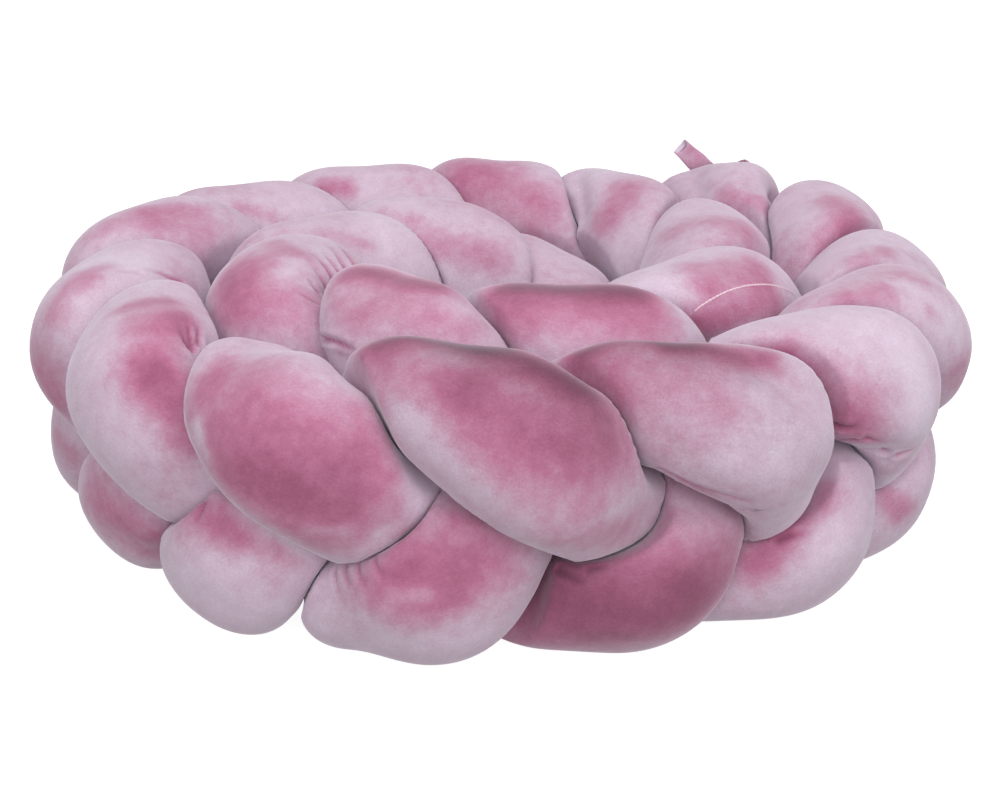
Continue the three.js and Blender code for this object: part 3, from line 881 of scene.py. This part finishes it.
def tube_mesh(name, points, first_tip, last_tip):
    """Closed tube over a grid of points, rows along it and columns around it, with two tips.

    The UV map holds metres along the tube and around it.
    """
    rows, columns = points.shape[:2]
    steps = np.linalg.norm(np.diff(points, axis=0), axis=-1).mean(1)
    length = np.concatenate([[0], np.cumsum(steps)])
    girth = np.linalg.norm(points - np.roll(points, 1, axis=1), axis=-1).sum(1).max()
    row, corner = np.meshgrid(np.arange(rows - 1), np.arange(columns), indexing="ij")
    turns = np.stack([corner, corner + 1, corner + 1, corner], -1).reshape(-1, 4)
    lines = np.stack([row, row, row + 1, row + 1], -1).reshape(-1, 4)
    quads = lines * columns + turns % columns
    ring = np.arange(columns)
    ahead = (ring + 1) % columns
    end = (rows - 1) * columns
    tip = rows * columns
    starts = np.stack([0 * ring + tip, ahead, ring], -1)
    ends = np.stack([0 * ring + tip + 1, end + ring, end + ahead], -1)
    places = np.concatenate([points.reshape(-1, 3), [first_tip, last_tip]]) * METRE
    mesh = bpy.data.meshes.new(name)
    mesh.from_pydata(places.tolist(), [], quads.tolist() + starts.tolist() + ends.tolist())
    quad_uv = np.stack([length[lines], turns * girth / columns], -1)
    first_turns = np.stack([ring, ring + 1, ring], -1)
    last_turns = np.stack([ring, ring, ring + 1], -1)
    first_uv = np.stack([np.zeros((columns, 3)), first_turns * girth / columns], -1)
    last_uv = np.stack([np.full((columns, 3), length[-1]), last_turns * girth / columns], -1)
    uv = np.concatenate([part.reshape(-1, 2) for part in (quad_uv, first_uv, last_uv)]) * METRE
    mesh.uv_layers.new(name="cloth").data.foreach_set("uv", uv.ravel())
    mesh.shade_smooth()
    return mesh


def add_values(mesh, name, values, at_tips):
    """Keeps a number at each point of a tube, as an attribute."""
    values = np.concatenate([values.ravel(), [at_tips, at_tips]])
    mesh.attributes.new(name, "FLOAT", "POINT").data.foreach_set("value", values)


def new_piece(name, mesh, material):
    """An object at the origin with one material, in the scene."""
    piece = bpy.data.objects.new(name, mesh)
    mesh.materials.append(material)
    bpy.context.scene.collection.objects.link(piece)
    return piece


# Materials


class Shade:
    """A shader socket. Arithmetic on it adds Math nodes, and node() adds any other node."""

    def __init__(self, tree, socket=None):
        self.tree = tree
        self.socket = socket

    def node(self, kind, settings, inputs, output=0):
        """Adds a node: its settings first, then values or links for its sockets."""
        made = self.tree.nodes.new(kind)
        for name, value in settings.items():
            if name == "stops":
                self.set_stops(made.color_ramp, value)
            else:
                setattr(made, name, value)
        for name, value in inputs.items():
            if isinstance(value, Shade):
                self.tree.links.new(value.socket, made.inputs[name])
            else:
                made.inputs[name].default_value = value
        return Shade(self.tree, made.outputs[output] if made.outputs else None)

    @staticmethod
    def set_stops(ramp, stops):
        """Gives a colour ramp its (place, colour) stops."""
        while len(ramp.elements) < len(stops):
            ramp.elements.new(1)
        for element, (place, colour) in zip(ramp.elements, stops):
            element.position = place
            element.color = colour

    def math(self, operation, first, second):
        """Adds a Math node."""
        return self.node("ShaderNodeMath", {"operation": operation}, {0: first, 1: second})

    def __add__(self, other):
        return self.math("ADD", self, other)

    def __radd__(self, other):
        return self.math("ADD", other, self)

    def __sub__(self, other):
        return self.math("SUBTRACT", self, other)

    def __rsub__(self, other):
        return self.math("SUBTRACT", other, self)

    def __mul__(self, other):
        return self.math("MULTIPLY", self, other)

    def __rmul__(self, other):
        return self.math("MULTIPLY", other, self)

    def noise(self, place, settings):
        """Noise at places, with a Noise node's scale, detail and roughness."""
        return self.node("ShaderNodeTexNoise", {}, {"Vector": place, **settings})

    def shaded(self, colour, factor):
        """A colour multiplied by a number."""
        return self.node("ShaderNodeMix", {"data_type": "RGBA", "blend_type": "MULTIPLY"},
                         {"Factor": 1.0, 6: colour, 7: factor}, output=2)


def new_material(name):
    """A material with an empty node tree, and the start of its shader."""
    material = bpy.data.materials.new(name)
    material.use_nodes = True
    material.node_tree.nodes.clear()
    return material, Shade(material.node_tree)


def plush_material(name):
    """Short-pile plush: rose where the pile stands, pale lilac where it is brushed flat.

    The nap attribute, which holds the pile's brushing and also painted sheen and painted shade, broken
    up by clouds, flecks and strokes along the strand, picks the colour. Fine fibres darken and lighten
    it a little and raise the bump, and painted shade from a second attribute darkens it, or lightens
    it as painted light where it is below 0.
    """
    material, start = new_material(name)
    place = start.node("ShaderNodeTexCoord", {}, {}, output="Object")
    cloth = start.node("ShaderNodeUVMap", {"uv_map": "cloth"}, {})
    patch = start.node("ShaderNodeAttribute", {"attribute_name": "nap"}, {}, output="Fac")
    # painted shade and painted light
    dusk = start.node("ShaderNodeAttribute", {"attribute_name": "dusk"}, {}, output="Fac")
    stretched = start.node("ShaderNodeMapping", {}, {"Vector": cloth, "Scale": STROKE_SCALE})
    cloud = start.noise(place, CLOUD_NOISE)
    stroke = start.noise(stretched, STROKE_NOISE)
    fleck = start.noise(place, FLECK_NOISE)
    fibre = start.noise(place, FIBRE_NOISE)
    nap = patch + (cloud - 0.5) * CLOUD_NAP + (stroke - 0.5) * STROKE_NAP + (fleck - 0.5) * FLECK_NAP
    span = NAP_HIGH - NAP_LOW
    stops = [((level - NAP_LOW) / span, colour) for level, colour in PILE_COLOURS]
    brushed = (nap - NAP_LOW) * (1 / span)
    colour = start.node("ShaderNodeValToRGB", {"stops": stops}, {"Fac": brushed})
    # fibre grain, less the painted shade, or plus the painted light
    base_colour = start.shaded(colour, fibre * FIBRE_SHADE + (1 - FIBRE_SHADE / 2) - dusk)
    bump = start.node("ShaderNodeBump", {}, {"Strength": 0.3, "Distance": 0.0006, "Height": fibre})
    shader = start.node("ShaderNodeBsdfPrincipled", {}, {
        "Base Color": base_colour,
        "Roughness": 0.95,
        "Specular IOR Level": 0.1,
        "Sheen Weight": 0.5,
        "Sheen Roughness": 0.4,
        "Sheen Tint": SHEEN_TINT,
        "Normal": bump,
    })
    start.node("ShaderNodeOutputMaterial", {}, {"Surface": shader})
    return material


def thread_material():
    """Pale pink sewing thread with a fine twist."""
    material, start = new_material("seam_thread")
    place = start.node("ShaderNodeTexCoord", {}, {}, output="Object")
    twist = start.noise(place, THREAD_NOISE)
    base_colour = start.shaded(SEAM_PINK, twist * THREAD_SHADE + (1 - THREAD_SHADE / 2))
    bump = start.node("ShaderNodeBump", {}, {"Strength": 0.3, "Distance": 0.0003, "Height": twist})
    shader = start.node("ShaderNodeBsdfPrincipled", {}, {
        "Base Color": base_colour,
        "Roughness": 0.8,
        "Sheen Weight": 0.3,
        "Normal": bump,
    })
    start.node("ShaderNodeOutputMaterial", {}, {"Surface": shader})
    return material


# The pieces


def make_strand(strand, material):
    """One stuffed strand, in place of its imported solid."""
    name = STRANDS[strand]
    cloth = strand_cloth(strand)
    tips = strand_middle(strand, np.array([0.0, LAST_CROWN]))
    mesh = tube_mesh("plush_" + name, cloth.points, *tips)
    # brushed pile, with painted sheen and painted shade
    add_values(mesh, "nap", cloth.nap, NAP_LEVEL)
    # painted shade and painted light
    add_values(mesh, "dusk", cloth.dusk, 0)
    piece = new_piece("plush_" + name, mesh, material)
    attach(piece, "root")
    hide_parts(name)


def make_seam():
    """The stitched line of one strand, where it shows inside the coil."""
    points = seam_grid()
    mesh = tube_mesh("seam", points, points[0].mean(0), points[-1].mean(0))
    piece = new_piece("seam", mesh, thread_material())
    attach(piece, "root")


def make_tie(material):
    """The tie, a tape sewn as a flat tube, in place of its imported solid."""
    points = tie_grid()
    mesh = tube_mesh("plush_tie", points, points[0].mean(0), points[-1].mean(0))
    nap = np.full(points.shape[:2], TIE_NAP)
    nap[TIE_STEPS:] = TIE_LIP_NAP
    add_values(mesh, "nap", nap, NAP_LEVEL)
    # painted shade in the depth of the tie's mouth
    dusk = np.zeros(points.shape[:2])
    dusk[TIE_STEPS + TIE_LIP_STEPS:] = TIE_HOLE_PAINTED_SHADE
    add_values(mesh, "dusk", dusk, TIE_HOLE_PAINTED_SHADE)
    piece = new_piece("plush_tie", mesh, material)
    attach(piece, "root")
    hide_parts("tie")


# The stage


def make_camera():
    """The camera at the photograph's viewing angle."""
    data = bpy.data.cameras.new("camera")
    data.sensor_width = SENSOR_WIDE
    data.sensor_fit = "HORIZONTAL"
    data.lens = CAMERA_LENS
    data.clip_start = CAMERA_NEAR
    camera = bpy.data.objects.new("camera", data)
    place = (COIL_CENTRE[0], COIL_CENTRE[1] - CAMERA_BACK, CAMERA_HIGH)
    camera.location = [length * METRE for length in place]
    camera.rotation_euler = (math.radians(90 - CAMERA_PITCH), 0, 0)
    bpy.context.scene.collection.objects.link(camera)
    bpy.context.scene.camera = camera


def make_floor():
    """A wide pale plain floor that glows, hidden from the diffuse light on the cloth."""
    half = FLOOR_HALF
    corners = [(-half, -half, 0), (half, -half, 0), (half, half, 0), (-half, half, 0)]
    mesh = bpy.data.meshes.new("floor")
    mesh.from_pydata(corners, [], [(0, 1, 2, 3)])
    material = bpy.data.materials.new("floor")
    material.use_nodes = True
    shader = material.node_tree.nodes["Principled BSDF"]
    shader.inputs["Base Color"].default_value = FLOOR_COLOUR
    shader.inputs["Roughness"].default_value = FLOOR_ROUGHNESS
    shader.inputs["Emission Color"].default_value = WHITE
    shader.inputs["Emission Strength"].default_value = FLOOR_GLOW
    floor = new_piece("floor", mesh, material)
    floor.visible_diffuse = False


def make_light():
    """Soft studio light: a bright surround and large lamps above and in front."""
    world = bpy.data.worlds.new("studio")
    world.use_nodes = True
    surround = world.node_tree.nodes["Background"]
    surround.inputs["Color"].default_value = WHITE
    surround.inputs["Strength"].default_value = SURROUND_GLOW
    bpy.context.scene.world = world
    for name, place, size, power in LAMPS:
        data = bpy.data.lights.new(name, "AREA")
        data.size = size
        data.energy = power
        lamp = bpy.data.objects.new(name, data)
        lamp.location = place
        aim = np.array(LAMP_AIM) - np.array(place)
        tilt = math.atan2(math.hypot(aim[0], aim[1]), -aim[2])
        lamp.rotation_euler = (tilt, 0, math.atan2(aim[1], aim[0]) - math.pi / 2)
        bpy.context.scene.collection.objects.link(lamp)


bpy.context.scene.view_settings.view_transform = "Standard"
make_camera()
make_floor()
make_light()
plush = plush_material("plush")
for strand in range(len(STRANDS)):
    make_strand(strand, plush)
make_seam()
make_tie(plush_material("tie_cloth"))
